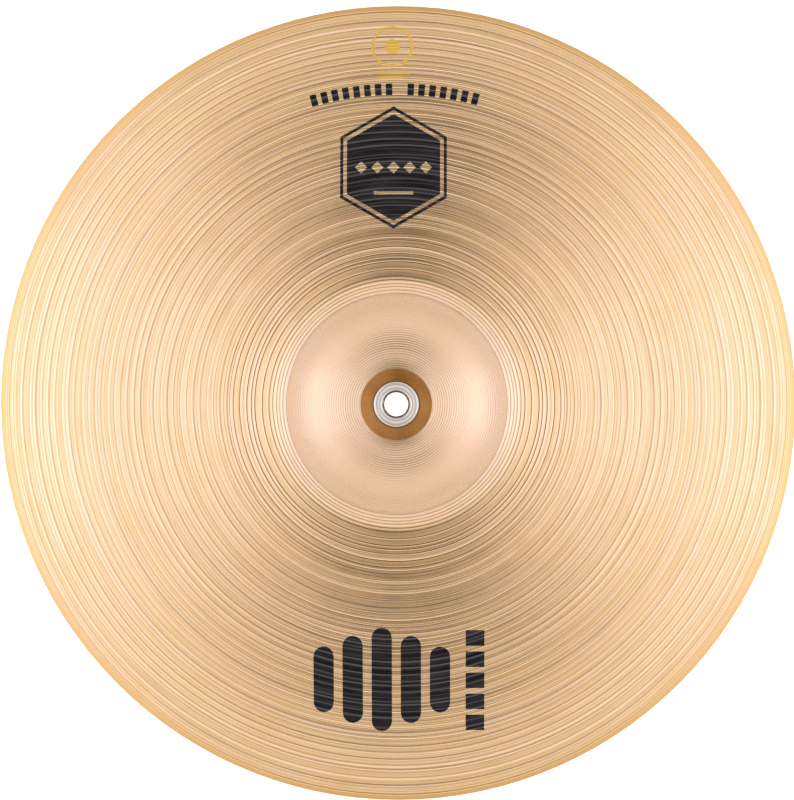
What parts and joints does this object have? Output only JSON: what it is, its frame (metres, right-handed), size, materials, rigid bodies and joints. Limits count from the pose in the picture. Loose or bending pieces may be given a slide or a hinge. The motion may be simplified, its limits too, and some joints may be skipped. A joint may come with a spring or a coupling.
{
  "type": "hand cymbal",
  "caption": "Round marching hand cymbal of lathed bronze, with a shallow bow, a raised bell and a metal grommet lining the strap hole.",
  "frame": {"origin": "on the disc's axis, in the plane of the flat foot of its rim", "axes": "+Z along the disc's axis, out through the bell and the strap hole; X and Y lie in the rim's plane, and the disc is round, so +Y is only where the printed emblem above the bell sits"},
  "size_m": [0.4064, 0.4064, 0.0423],
  "materials": {
    "bronze": "lathed",
    "nickel_plate": "polished",
    "printed_ink": "screen print"
  },
  "bodies": {
    "root": {"cymbal": "bronze", "grommet_eyelet": "nickel_plate", "grommet_washer": "nickel_plate"}
  },
  "joints": []
}
